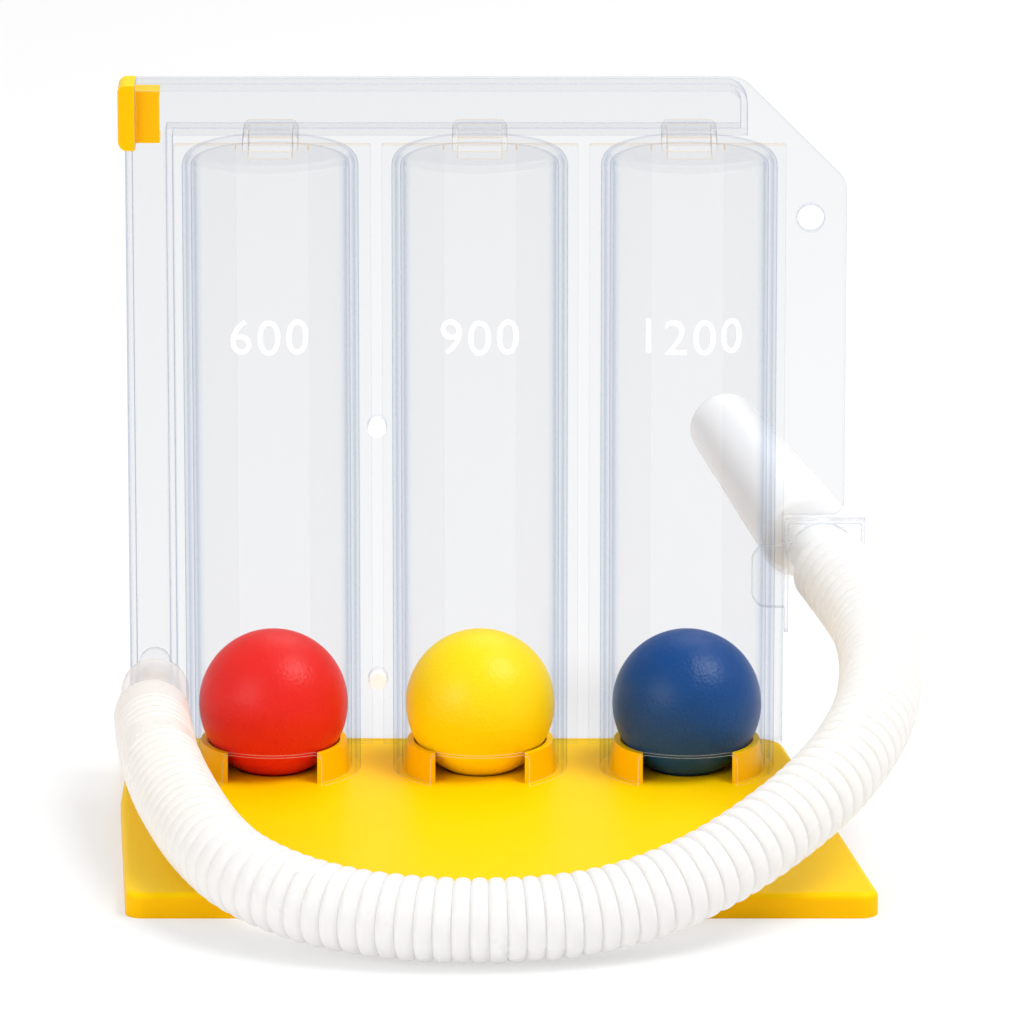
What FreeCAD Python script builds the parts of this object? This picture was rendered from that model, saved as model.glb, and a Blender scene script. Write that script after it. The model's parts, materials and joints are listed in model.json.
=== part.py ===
import FreeCAD, Part
import math
import os
import Sketcher

# Three-ball incentive spirometer.
# The origin is under the middle column at the level the base stands on.
# X runs to the right, Y to the back and Z up. All lengths are in millimetres.

doc = FreeCAD.newDocument("Spirometer")
sheet = doc.addObject("Spreadsheet::Sheet", "Sizes")

# Driving sizes: name, value and what it is
DRIVING_SIZES = [
    ("column_radius", 16.0, "outer radius of a column"),
    ("column_wall", 1.6, "wall of a column"),
    ("column_gap", 6.0, "gap between the walls of two columns"),
    ("column_top", 121.0, "level of the closed tops"),
    ("shoulder", 3.0, "rounding of a column's top edge"),
    ("web_gap", 2.0, "gap between two weld wings"),
    ("wing_thick", 1.6, "thickness of the weld wings"),
    ("wing_land", 0.2, "weld face behind the column's wall"),
    ("wing_round", 0.4, "outer edges of the weld wings"),
    ("seam", 0.1, "gap at a glued seam"),
    ("wing_drop", 2.6, "upper end of the wings below the top"),
    ("slot_width", 18.0, "air inlet, width"),
    ("slot_height", 6.1, "air inlet, height"),
    ("slot_round", 1.6, "air inlet, upper corners"),
    ("hood_width", 10.0, "outlet hood, width"),
    ("hood_height", 3.4, "outlet hood, height over the top"),
    ("hood_front", 2.3, "outlet hood, reach in front of the axis"),
    ("hood_wall", 1.0, "outlet hood, wall"),
    ("hood_round", 1.4, "outlet hood, edges"),
    ("base_height", 4.5, "top of the base"),
    ("base_skin", 2.0, "walls of the base"),
    ("base_edge", 1.4, "rounding of the base's top edge"),
    ("base_left_taper", 2.3, "left front corner inside the duct's side"),
    ("base_left_swell", 0.8, "widest place of the left side beyond the duct"),
    ("base_left_lip", 0.4, "left back corner beyond the duct"),
    ("base_right_front", 15.1, "right front corner beyond the right wing"),
    ("base_right_back", 0.4, "right back corner inside the right wing"),
    ("base_front", 79.8, "front edge, to the front"),
    ("base_side_knee", 20.0, "widest place of the left side, to the front"),
    ("base_back_lip", 1.4, "base behind the back plate"),
    ("base_corner", 3.2, "front corners"),
    ("base_left_corner", 2.0, "left back corner"),
    ("base_back_corner", 6.0, "right back corner"),
    ("base_slant", 0.8, "hollow's corners further inside the slanted sides"),
    ("rib_width", 1.6, "ribs under the base"),
    ("rib_lap", 1.6, "ribs inside the round seats"),
    ("ring_height", 5.3, "seat ring above the base"),
    ("ring_play", 0.2, "seat ring inside the column"),
    ("ring_taper", 0.8, "slant of the seat ring's side, radius"),
    ("ring_notch", 0.8, "notch of the seat ring inside the slot's side"),
    ("cup_depth", 2.2, "recess under a ball"),
    ("ball_gap", 0.7, "ball inside its column"),
    ("ball_sink", 1.6, "lowest point of a resting ball below the top of the base"),
    ("ball_play", 0.3, "ball to its seat"),
    ("duct_width", 8.6, "width of the duct's upright leg"),
    ("duct_height", 9.6, "height of the duct's upper leg"),
    ("duct_front", 9.6, "front face of the duct, to the back"),
    ("duct_wall", 1.2, "walls of the duct"),
    ("duct_end_gap", 5.2, "right end of the upper leg inside the right column's side"),
    ("duct_round", 4.0, "upper right corner of the duct"),
    ("duct_edge", 0.8, "rounding of the duct's front edges"),
    ("port_height", 1.2, "outlet port between hood and duct"),
    ("plate_thick", 1.6, "back plate"),
    ("plate_round", 0.4, "edges of the back plate"),
    ("flange_width", 11.2, "flange beyond the right wing"),
    ("flange_bottom", 47.9, "lower edge of the flange"),
    ("flange_corner", 19.4, "cut corner of the flange"),
    ("flange_round", 5.0, "rounding at the cut corner"),
    ("flange_toe", 2.5, "lower right corner of the flange"),
    ("hole_radius", 2.5, "hanging hole"),
    ("hole_inset", 6.6, "hanging hole from the flange's right edge"),
    ("hole_drop", 26.4, "hanging hole below the upper edge"),
    ("pin_radius", 1.6, "locating pins"),
    ("pin_play", 0.05, "pins in their holes"),
    ("pin_head", 0.6, "pins in front of the wings"),
    ("pin_low", 16.6, "lower pin, level"),
    ("pin_high", 64.9, "upper pin, level"),
    ("cap_head", 3.1, "corner cap, thickness of its head"),
    ("cap_drop", 12.1, "corner cap, height of its head"),
    ("cap_proud", 1.3, "corner cap outside the duct's side"),
    ("cap_over", 0.5, "corner cap in front of the duct"),
    ("cap_round", 1.6, "corner cap, outer edges"),
    ("plug_length", 4.5, "plug inside the duct"),
    ("plug_height", 9.7, "plug inside the duct"),
    ("plug_play", 0.1, "plug inside the duct"),
    ("plug_wall", 1.2, "walls of the plug"),
    ("spigot_inset", 4.7, "spigot axis from the duct's left side"),
    ("spigot_level", 16.6, "spigot axis, level"),
    ("spigot_radius", 4.8, "outer radius of the spigot"),
    ("spigot_bore", 3.8, "bore of the spigot"),
    ("spigot_length", 14.0, "spigot in front of its flange"),
    ("spigot_flange", 6.0, "flange of the spigot"),
    ("flange_thick", 1.2, "flange of the spigot"),
    ("spigot_lead", 0.6, "slanted end of the spigot, length"),
    ("spigot_taper", 0.4, "slanted end of the spigot, radius"),
    ("lug_radius", 2.9, "round lug over the flange"),
    ("lug_inset", 0.9, "lug's axis inside the flange's edge"),
    ("hose_radius", 7.5, "outer radius of the hose"),
    ("hose_wall", 1.5, "from the hose's bore to its outside"),
    ("cuff_radius", 5.9, "smooth part of the lower cuff"),
    ("cuff_play", 0.05, "cuffs on their spigots"),
    ("cuff_flare", 2.5, "length of the lower cuff's flare"),
    ("cuff_band", 1.0, "full-size end of the lower cuff"),
    ("cuff_opening", 1.4, "widening of the lower cuff's bore, length"),
    ("lower_cuff_end", 9.0, "front end of the lower cuff"),
    ("upper_cuff_length", 7.0, "length of the upper cuff"),
    ("upper_cuff_gap", 3.3, "upper cuff in front of the holding point"),
    ("hold_side", 0.7, "mouthpiece's axis right of the opening's axis"),
    ("hold_sink", 0.4, "mouthpiece's axis below the opening's axis"),
    ("hold_front", 0.8, "holding point in front of the holder"),
    ("mouth_rise", 13.0, "rise of the mouthpiece, degrees"),
    ("mouth_swing", 19.2, "turn of the mouthpiece to the left, degrees"),
    ("mouth_length", 58.5, "tip beyond the holding point"),
    ("mouth_start", 10.6, "wide part begins behind the holding point"),
    ("mouth_wide", 8.7, "largest radius of the mouthpiece"),
    ("mouth_tip", 6.5, "radius of the tip"),
    ("mouth_shoulder", 1.5, "slanted shoulder, length"),
    ("shoulder_round", 1.6, "rounding of the shoulder"),
    ("tip_round", 2.0, "rounding of the tip"),
    ("mouth_bore", 4.0, "bore of the mouthpiece"),
    ("stem_radius", 5.2, "stem of the mouthpiece"),
    ("stem_play", 0.3, "stem's end short of the upper cuff's end"),
    ("stem_lead", 0.8, "slanted end of the stem, length"),
    ("stem_taper", 0.4, "slanted end of the stem, radius"),
    ("holder_width", 14.9, "width of the holder"),
    ("holder_gap", 0.1, "holder below the flange"),
    ("holder_leg", 21.3, "length of the left leg"),
    ("holder_short_leg", 14.3, "length of the right leg"),
    ("holder_depth", 2.4, "thickness of the holder"),
    ("holder_recess", 1.0, "recess in the holder's face"),
    ("holder_rim", 0.7, "rim around the recess"),
    ("holder_round", 0.2, "front edges of the holder"),
    ("arch_radius", 6.4, "opening of the holder"),
    ("arch_inset", 7.2, "axis of the opening from the holder's left side"),
    ("arch_drop", 7.4, "axis of the opening below the holder's top"),
    ("tab_reach", 6.0, "tab on the column's wing"),
    ("tab_thick", 1.7, "tab in front of the wing"),
    ("tab_drop", 4.8, "upper edge of the tab below the holder's top"),
    ("tab_height", 11.9, "height of the tab"),
    ("tab_round", 3.0, "corners of the tab"),
]

# The hose's route from the lower cuff to the upper cuff, chosen by hand
HOSE_ROUTE = [
    (-60.0, -9.0, 16.6),
    (-60.0, -24.0, 16.6),
    (-58.8, -43.0, 15.3),
    (-55.2, -61.0, 14.2),
    (-50.2, -77.0, 13.1),
    (-41.5, -90.5, 11.3),
    (-28.5, -100.3, 8.9),
    (-12.5, -105.2, 7.8),
    (6.0, -106.0, 7.65),
    (23.0, -102.8, 8.6),
    (38.5, -95.9, 12.4),
    (52.0, -85.5, 18.0),
    (63.5, -71.5, 23.9),
    (70.4, -54.0, 28.9),
    (72.4, -36.5, 32.0),
    (72.3, -21.5, 33.8),
    (71.15, -8.52, 34.98),
    (67.3, 2.52, 37.68),
]
ARC_SHARE = 0.45

# How far a cutting outline reaches past the piece it cuts
OVER = 1.0


class Size:
    """A number together with the sheet expression that gives it."""

    def __init__(self, value, text):
        self.value = value
        self.text = text

    def __add__(self, other):
        other = as_size(other)
        return Size(self.value + other.value, f"({self.text} + {other.text})")

    def __sub__(self, other):
        other = as_size(other)
        return Size(self.value - other.value, f"({self.text} - {other.text})")

    def __mul__(self, other):
        other = as_size(other)
        return Size(self.value * other.value, f"({self.text} * {other.text})")

    def __truediv__(self, other):
        other = as_size(other)
        return Size(self.value / other.value, f"({self.text} / {other.text})")

    def __neg__(self):
        return Size(-self.value, f"(-1 * {self.text})")


def as_size(number):
    if isinstance(number, Size):
        return number
    return Size(float(number), f"({float(number)})")


def root(size):
    return Size(math.sqrt(size.value), f"sqrt({size.text})")


class Sizes:
    """The sheet's values by name."""


def fill_sheet():
    sizes = Sizes()
    for row, (alias, value, meaning) in enumerate(DRIVING_SIZES, start=1):
        sheet.set(f"A{row}", meaning)
        sheet.set(f"B{row}", str(value))
        sheet.setAlias(f"B{row}", alias)
        setattr(sizes, alias, Size(value, f"Sizes.{alias}"))
    doc.recompute()
    return sizes


size = fill_sheet()

# Levels and places that several pieces share
base_top = size.base_height
column_pitch = size.column_radius * 2 + size.column_gap
column_bore = size.column_radius - size.column_wall
ball_radius = column_bore - size.ball_gap
wing_half = (column_pitch - size.web_gap) / 2
wing_back = size.column_radius + size.wing_land
wing_front = wing_back - size.wing_thick
plate_front = wing_back + size.seam
plate_back = plate_front + size.plate_thick
duct_top = size.column_top + size.duct_height
right_wing = column_pitch + wing_half
duct_right = -(right_wing + size.seam)
duct_low = size.column_top + size.seam
duct_left = duct_right - size.duct_width
duct_end = column_pitch + size.column_radius - size.duct_end_gap
cap_bottom = duct_top - size.cap_drop
cap_inside = duct_left + size.cap_head - size.cap_proud
flange_back = size.duct_front - size.seam
flange_face = flange_back - size.flange_thick
ball_level = base_top + ball_radius - size.ball_sink
ring_top = base_top + size.ring_height
hood_top = size.column_top + size.hood_height
port_bottom = duct_low + size.duct_wall
pin_across = column_pitch / -2
flange_right = right_wing + size.flange_width
spigot_across = duct_left + size.spigot_inset
holder_left = right_wing + size.seam
holder_right = holder_left + size.holder_width
holder_top = size.flange_bottom - size.holder_gap
tab_back = wing_front - size.seam
holder_front = tab_back - size.tab_thick
arch_across = holder_left + size.arch_inset
arch_level = holder_top - size.arch_drop


def new_body(name):
    body = doc.addObject("PartDesign::Body", name)
    body.Label = name
    return body


def origin_item(body, role):
    return next(item for item in body.Origin.OriginFeatures if item.Role == role)


def new_sketch(body, name, role, offset=None):
    """A sketch on one of the body's own planes; offset is along the plane's normal."""
    sketch = body.newObject("Sketcher::SketchObject", name)
    sketch.AttachmentSupport = [(origin_item(body, role), "")]
    sketch.MapMode = "FlatFace"
    if offset is not None:
        sketch.setExpression("AttachmentOffset.Base.z", as_size(offset).text)
    return sketch


def drive(sketch, constraint, dimension):
    index = sketch.addConstraint(constraint)
    sketch.setExpression(f"Constraints[{index}]", as_size(dimension).text)


def add_outline(sketch, points):
    """A closed outline of straight edges; every corner is held by two driven dimensions."""
    places = [(as_size(across), as_size(along)) for across, along in points]
    vectors = [FreeCAD.Vector(across.value, along.value, 0) for across, along in places]
    count = len(vectors)
    first = sketch.GeometryCount
    for index in range(count):
        sketch.addGeometry(Part.LineSegment(vectors[index], vectors[(index + 1) % count]), False)
    for index in range(count):
        after = first + (index + 1) % count
        sketch.addConstraint(Sketcher.Constraint("Coincident", first + index, 2, after, 1))
    for index, (across, along) in enumerate(places):
        edge = first + index
        drive(sketch, Sketcher.Constraint("DistanceX", -1, 1, edge, 1, across.value), across)
        drive(sketch, Sketcher.Constraint("DistanceY", -1, 1, edge, 1, along.value), along)


def add_rectangle(sketch, left, right, low, high):
    add_outline(sketch, [(left, low), (right, low), (right, high), (left, high)])


def add_circle(sketch, across, along, radius):
    across, along, radius = as_size(across), as_size(along), as_size(radius)
    centre = FreeCAD.Vector(across.value, along.value, 0)
    circle = Part.Circle(centre, FreeCAD.Vector(0, 0, 1), radius.value)
    index = sketch.addGeometry(circle, False)
    drive(sketch, Sketcher.Constraint("DistanceX", -1, 1, index, 3, across.value), across)
    drive(sketch, Sketcher.Constraint("DistanceY", -1, 1, index, 3, along.value), along)
    drive(sketch, Sketcher.Constraint("Radius", index, radius.value), radius)


def add_pad(body, sketch, length, reverse=False):
    pad = body.newObject("PartDesign::Pad", sketch.Name + "Pad")
    pad.Profile = sketch
    pad.setExpression("Length", as_size(length).text)
    pad.Reversed = reverse
    doc.recompute()
    return pad


def add_pocket(body, sketch, length, reverse=False):
    """A pocket that has to take material away, whichever way its plane faces."""
    before = body.Shape.Volume
    pocket = body.newObject("PartDesign::Pocket", sketch.Name + "Pocket")
    pocket.Profile = sketch
    pocket.setExpression("Length", as_size(length).text)
    pocket.Reversed = reverse
    doc.recompute()
    if body.Shape.Volume > before - 0.01:
        raise RuntimeError(f"{sketch.Name} cuts nothing")
    return pocket


def add_revolution(body, sketch, axis="V_Axis"):
    turned = body.newObject("PartDesign::Revolution", sketch.Name + "Turn")
    turned.Profile = sketch
    turned.ReferenceAxis = (sketch, [axis])
    turned.Angle = 360.0
    doc.recompute()
    return turned


def edges_where(shape, test):
    return [f"Edge{number}" for number, edge in enumerate(shape.Edges, start=1) if test(edge)]


def add_fillet(body, radius, test):
    before = body.Tip
    names = edges_where(before.Shape, test)
    if not names:
        raise RuntimeError(f"{body.Label} has no edge for its rounding")
    fillet = body.newObject("PartDesign::Fillet", body.Name + "Round")
    fillet.Base = (before, names)
    fillet.setExpression("Radius", as_size(radius).text)
    doc.recompute()
    return fillet


def near(first, second, slack=0.02):
    return abs(first - second) < slack


def runs_along(edge, direction):
    """True for a straight edge along the given unit vector."""
    if len(edge.Vertexes) != 2 or edge.Curve.TypeId != "Part::GeomLine":
        return False
    span = edge.Vertexes[1].Point - edge.Vertexes[0].Point
    return near(abs(span.normalize().dot(direction)), 1.0, 1e-4)


ALONG_X = FreeCAD.Vector(1, 0, 0)
ALONG_Y = FreeCAD.Vector(0, 1, 0)
ALONG_Z = FreeCAD.Vector(0, 0, 1)


def upright_edge_at(across, back):
    """Test for an upright edge at one corner of the base."""

    def test(edge):
        middle = edge.CenterOfMass
        return (
            runs_along(edge, ALONG_Z)
            and near(middle.x, across.value)
            and near(middle.y, back.value)
        )

    return test


def cross_edge_at(across, level):
    """Test for an edge that runs from front to back at one corner of a plate."""

    def test(edge):
        middle = edge.CenterOfMass
        return (
            runs_along(edge, ALONG_Y)
            and near(middle.x, across.value)
            and near(middle.z, level.value)
        )

    return test


def round_edge_at(radius, level):
    """Test for a circle about the body's own upright axis."""

    def test(edge):
        box = edge.BoundBox
        flat = near(box.ZMin, level.value) and near(box.ZMax, level.value)
        return flat and near(box.XMax, radius.value)

    return test


def clear_of_ball(level):
    """Radius of a round hole whose upper edge is at that level, just clear of a resting ball."""
    gap = ball_radius + size.ball_play
    drop = ball_level - level
    return root(gap * gap - drop * drop)


# Base: a tray with walls, ribs and round seats under the columns
def build_base():
    body = new_body("base")
    back = plate_back + size.base_back_lip
    left_front = duct_left + size.base_left_taper
    left_back = duct_left - size.base_left_lip
    left_knee = duct_left - size.base_left_swell
    right_front = right_wing + size.base_right_front
    right_back = right_wing - size.base_right_back
    corners = [
        (left_front, -size.base_front),
        (right_front, -size.base_front),
        (right_back, back),
        (left_back, back),
        (left_knee, -size.base_side_knee),
    ]
    outline = new_sketch(body, "BaseOutline", "XY_Plane")
    add_outline(outline, corners)
    add_pad(body, outline, base_top)
    for corner in corners[:2]:
        add_fillet(body, size.base_corner, upright_edge_at(*corner))
    add_fillet(body, size.base_back_corner, upright_edge_at(*corners[2]))
    add_fillet(body, size.base_left_corner, upright_edge_at(*corners[3]))

    def top_edge(edge):
        box = edge.BoundBox
        return near(box.ZMin, base_top.value) and near(box.ZMax, base_top.value)

    add_fillet(body, size.base_edge, top_edge)
    wall = size.base_skin
    inset = wall + size.base_slant
    hollow = new_sketch(body, "BaseHollow", "XY_Plane")
    hollow_front = wall - size.base_front
    hollow_back = back - wall
    add_outline(
        hollow,
        [
            (left_front + wall, hollow_front),
            (right_front - inset, hollow_front),
            (right_back - inset, hollow_back),
            (left_back + inset, hollow_back),
            (left_knee + wall, -size.base_side_knee),
        ],
    )
    add_pocket(body, hollow, base_top - wall, reverse=True)
    seats = new_sketch(body, "BaseSeats", "XY_Plane")
    add_circle(seats, 0, 0, size.column_radius)
    seat = add_pad(body, seats, base_top)
    repeat_for_columns(body, seat, "BaseSeatRow")
    ribs = new_sketch(body, "BaseRibs", "XY_Plane")
    half = size.rib_width / 2
    rib_back = size.rib_lap - size.column_radius
    for across in (-column_pitch, as_size(0), column_pitch):
        add_rectangle(ribs, across - half, across + half, hollow_front, rib_back)
    add_pad(body, ribs, base_top - wall / 2)
    # Slanted ring that centres a column and carries its ball
    foot = column_bore - size.ring_play
    foot_level = base_top - size.base_edge
    ring_profile = new_sketch(body, "BaseRing", "XZ_Plane")
    add_outline(
        ring_profile,
        [
            (0, foot_level),
            (foot, foot_level),
            (foot, base_top),
            (foot - size.ring_taper, ring_top),
            (0, ring_top),
        ],
    )
    ring = add_revolution(body, ring_profile)
    hole = new_sketch(body, "BaseRingHole", "XY_Plane", base_top)
    add_circle(hole, 0, 0, clear_of_ball(ring_top))
    ring_hole = add_pocket(body, hole, size.ring_height * 2, reverse=True)
    cup = new_sketch(body, "BaseCup", "XY_Plane", base_top - size.cup_depth)
    add_circle(cup, 0, 0, clear_of_ball(base_top))
    cup_cut = add_pocket(body, cup, size.ring_height * 2, reverse=True)
    inlet = new_sketch(body, "BaseInlet", "XY_Plane", base_top)
    side = size.slot_width / 2 - size.ring_notch
    add_rectangle(inlet, -side, side, -size.column_radius, 0)
    inlet_cut = add_pocket(body, inlet, size.ring_height * 2, reverse=True)
    repeat_for_columns(body, [ring, ring_hole, cup_cut, inlet_cut], "BaseRingRow")
    return body


def repeat_for_columns(body, features, name):
    """The same features under the left and the right column."""
    if not isinstance(features, list):
        features = [features]
    for side, reverse in (("Right", False), ("Left", True)):
        row = body.newObject("PartDesign::LinearPattern", name + side)
        row.Originals = features
        row.Direction = (origin_item(body, "X_Axis"), [""])
        row.Reversed = reverse
        row.Occurrences = 2
        row.setExpression("Length", column_pitch.text)
        body.Tip = row
        doc.recompute()


# Column: closed tube with an inlet slot, weld wings and a hood over its outlet
def build_column(name, across, notch_side=0):
    body = new_body(name)
    profile = new_sketch(body, name + "Profile", "XZ_Plane")
    inner_top = size.column_top - size.column_wall
    add_outline(
        profile,
        [
            (column_bore, base_top),
            (size.column_radius, base_top),
            (size.column_radius, size.column_top),
            (0, size.column_top),
            (0, inner_top),
            (column_bore, inner_top),
        ],
    )
    add_revolution(body, profile)
    add_fillet(body, size.shoulder, round_edge_at(size.column_radius, size.column_top))
    inner_shoulder = size.shoulder - size.column_wall
    add_fillet(body, inner_shoulder, round_edge_at(column_bore, inner_top))
    wings = new_sketch(body, name + "Wings", "XY_Plane", base_top)
    add_rectangle(wings, -wing_half, wing_half, wing_front, wing_back)
    add_pad(body, wings, size.column_top - size.wing_drop - base_top)

    def wing_edge(edge):
        middle = edge.CenterOfMass
        return near(abs(middle.x), wing_half.value) and middle.z > base_top.value + OVER

    add_fillet(body, size.wing_round, wing_edge)
    hood = new_sketch(body, name + "Hood", "XZ_Plane", -flange_back)
    half = size.hood_width / 2
    add_rectangle(hood, -half, half, inner_top, hood_top)
    add_pad(body, hood, flange_back + size.hood_front)

    def hood_edge(edge):
        middle = edge.CenterOfMass
        along_top = near(middle.z, hood_top.value) and not near(middle.y, flange_back.value)
        upright = (
            runs_along(edge, ALONG_Z)
            and near(middle.y, -size.hood_front.value)
            and middle.z > size.column_top.value
        )
        return along_top or upright

    add_fillet(body, size.hood_round, hood_edge)
    hollow = new_sketch(body, name + "Port", "XZ_Plane", -flange_back)
    inside = half - size.hood_wall
    add_rectangle(hollow, -inside, inside, inner_top - OVER, hood_top - size.hood_wall)
    add_pocket(body, hollow, flange_back + size.hood_front - size.hood_wall, reverse=True)
    slot = new_sketch(body, name + "Slot", "XZ_Plane")
    side = size.slot_width / 2
    add_rectangle(slot, -side, side, base_top - OVER, base_top + size.slot_height)
    add_pocket(body, slot, size.column_radius * 2, reverse=True)

    def slot_corner(edge):
        middle = edge.CenterOfMass
        return (
            edge.Length < size.column_wall.value * 2
            and near(abs(middle.x), side.value)
            and near(middle.z, base_top.value + size.slot_height.value)
            and middle.y < 0
        )

    add_fillet(body, size.slot_round, slot_corner)
    if notch_side:
        pins = new_sketch(body, name + "PinNotch", "XZ_Plane", -wing_back)
        for level in (size.pin_low, size.pin_high):
            add_circle(pins, column_pitch / 2 * notch_side, level, size.pin_radius + size.pin_play)
        add_pocket(body, pins, size.wing_thick, reverse=True)
    body.setExpression("Placement.Base.x", as_size(across).text)
    doc.recompute()
    return body


# Air channel: an L-shaped duct that is open at its back
def build_air_channel():
    body = new_body("air_channel")
    depth = wing_back - size.duct_front
    wall = size.duct_wall
    outline = new_sketch(body, "DuctOutline", "XZ_Plane", -wing_back)
    add_outline(
        outline,
        [
            (duct_left, base_top),
            (duct_right, base_top),
            (duct_right, duct_low),
            (duct_end, duct_low),
            (duct_end, duct_top),
            (duct_left, duct_top),
        ],
    )
    add_pad(body, outline, depth)
    add_fillet(body, size.duct_round, cross_edge_at(duct_end, duct_top))
    inside = new_sketch(body, "DuctInside", "XZ_Plane", -wing_back)
    add_outline(
        inside,
        [
            (duct_left + wall, base_top + wall),
            (duct_right - wall, base_top + wall),
            (duct_right - wall, duct_low + wall),
            (duct_end - wall, duct_low + wall),
            (duct_end - wall, duct_top - wall),
            (duct_left + wall, duct_top - wall),
        ],
    )
    add_pocket(body, inside, depth - wall, reverse=True)
    add_fillet(
        body,
        size.duct_round - wall,
        cross_edge_at(duct_end - wall, duct_top - wall),
    )

    def front_edge(edge):
        box = edge.BoundBox
        front = size.duct_front.value
        in_front = near(box.YMin, front) and near(box.YMax, front)
        return in_front and box.ZMax > base_top.value + OVER

    add_fillet(body, size.duct_edge, front_edge)
    notch = new_sketch(body, "DuctNotch", "XZ_Plane", -wing_back)
    add_rectangle(notch, duct_left - OVER, cap_inside, cap_bottom, duct_top + OVER)
    add_pocket(body, notch, depth, reverse=True)
    ports = new_sketch(body, "DuctPorts", "XZ_Plane", -(size.duct_front + wall))
    half = size.hood_width / 2 - size.hood_wall
    for across in (-column_pitch, as_size(0), column_pitch):
        add_rectangle(ports, across - half, across + half, port_bottom, port_bottom + size.port_height)
    add_circle(ports, spigot_across, size.spigot_level, size.spigot_bore)
    add_pocket(body, ports, wall, reverse=True)
    return body


# Back plate: closes the duct and carries the hanging hole
def build_back_plate():
    body = new_body("back_plate")
    outline = new_sketch(body, "PlateOutline", "XZ_Plane", -plate_back)
    corners = [
        (duct_left, base_top),
        (right_wing, base_top),
        (right_wing, size.flange_bottom),
        (flange_right, size.flange_bottom),
        (flange_right, duct_top - size.flange_corner),
        (flange_right - size.flange_corner, duct_top),
        (cap_inside, duct_top),
        (cap_inside, cap_bottom),
        (duct_left, cap_bottom),
    ]
    add_outline(outline, corners)
    add_pad(body, outline, size.plate_thick)
    for corner in corners[4:6]:
        add_fillet(body, size.flange_round, cross_edge_at(*corner))
    add_fillet(body, size.flange_toe, cross_edge_at(*corners[3]))

    def outline_edge(edge):
        box = edge.BoundBox
        flat = near(box.YMin, box.YMax)
        return flat and (near(box.YMin, plate_front.value) or near(box.YMin, plate_back.value))

    add_fillet(body, size.plate_round, outline_edge)
    holes = new_sketch(body, "PlateHoles", "XZ_Plane", -plate_back)
    hole_across = flange_right - size.hole_inset
    add_circle(holes, hole_across, duct_top - size.hole_drop, size.hole_radius)
    for level in (size.pin_low, size.pin_high):
        add_circle(holes, pin_across, level, size.pin_radius + size.pin_play)
    add_pocket(body, holes, size.plate_thick, reverse=True)
    return body


# Corner cap: a head outside the duct and a hollow plug inside it
def build_corner_cap():
    body = new_body("corner_cap")
    head = new_sketch(body, "CapHead", "XZ_Plane", -plate_back)
    outside = cap_inside - size.cap_head
    add_rectangle(head, outside, cap_inside, cap_bottom, duct_top)
    front = size.duct_front - size.cap_over
    add_pad(body, head, plate_back - front)

    def outer_edge(edge):
        middle = edge.CenterOfMass
        on_side = near(middle.x, outside.value)
        return on_side and not near(middle.y, plate_back.value)

    add_fillet(body, size.cap_round, outer_edge)
    plug_back = wing_back - size.plug_play
    plug_front = size.duct_front + size.duct_wall + size.plug_play
    plug_high = duct_top - size.duct_wall - size.plug_play
    plug_low = plug_high - size.plug_height
    plug_end = cap_inside + size.plug_length
    plug = new_sketch(body, "CapPlug", "XZ_Plane", -plug_back)
    add_rectangle(plug, cap_inside - size.cap_head / 2, plug_end, plug_low, plug_high)
    add_pad(body, plug, plug_back - plug_front)
    hollow = new_sketch(body, "CapHollow", "XZ_Plane", -plug_back)
    wall = size.plug_wall
    add_rectangle(hollow, cap_inside + wall, plug_end + OVER, plug_low + wall, plug_high - wall)
    add_pocket(body, hollow, plug_back - plug_front - wall, reverse=True)
    return body


# Locating pins: through the back plate, between two wings
def build_locating_pins():
    body = new_body("locating_pins")
    pins = new_sketch(body, "PinCircles", "XZ_Plane", -plate_back)
    add_circle(pins, pin_across, size.pin_low, size.pin_radius)
    add_circle(pins, pin_across, size.pin_high, size.pin_radius)
    add_pad(body, pins, plate_back - wing_front + size.pin_head)
    return body


# Hose connector: flange, spigot and a round lug, turned about its own upright axis
def build_hose_connector():
    body = new_body("hose_connector")
    profile = new_sketch(body, "ConnectorProfile", "XZ_Plane")
    length = size.flange_thick + size.spigot_length
    add_outline(
        profile,
        [
            (size.spigot_bore, 0),
            (size.spigot_flange, 0),
            (size.spigot_flange, size.flange_thick),
            (size.spigot_radius, size.flange_thick),
            (size.spigot_radius, length - size.spigot_lead),
            (size.spigot_radius - size.spigot_taper, length),
            (size.spigot_bore, length),
        ],
    )
    add_revolution(body, profile)
    lug = new_sketch(body, "ConnectorLug", "XY_Plane")
    add_circle(lug, 0, size.spigot_flange - size.lug_inset, size.lug_radius)
    add_pad(body, lug, size.flange_thick)
    place = FreeCAD.Vector(spigot_across.value, flange_back.value, size.spigot_level.value)
    body.Placement = FreeCAD.Placement(place, FreeCAD.Rotation(ALONG_X, 90))
    doc.recompute()
    return body


# Lower cuff: smooth tube on the spigot with a flare to the hose's size
def build_lower_cuff():
    body = new_body("lower_cuff")
    bore = size.spigot_radius + size.cuff_play
    hose_bore = size.hose_radius - size.hose_wall
    length = flange_face + size.lower_cuff_end
    flare_end = length - size.cuff_band
    profile = new_sketch(body, "LowerCuffProfile", "XZ_Plane")
    add_outline(
        profile,
        [
            (bore, 0),
            (size.cuff_radius, 0),
            (size.cuff_radius, flare_end - size.cuff_flare),
            (size.hose_radius, flare_end),
            (size.hose_radius, length),
            (hose_bore, length),
            (bore, length - size.cuff_opening),
        ],
    )
    add_revolution(body, profile)
    place = FreeCAD.Vector(spigot_across.value, flange_face.value, size.spigot_level.value)
    body.Placement = FreeCAD.Placement(place, FreeCAD.Rotation(ALONG_X, 90))
    doc.recompute()
    return body


def mouth_axis():
    rise = math.radians(size.mouth_rise.value)
    swing = math.radians(size.mouth_swing.value)
    level = math.cos(rise)
    return FreeCAD.Vector(-level * math.sin(swing), level * math.cos(swing), math.sin(rise))


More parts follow.
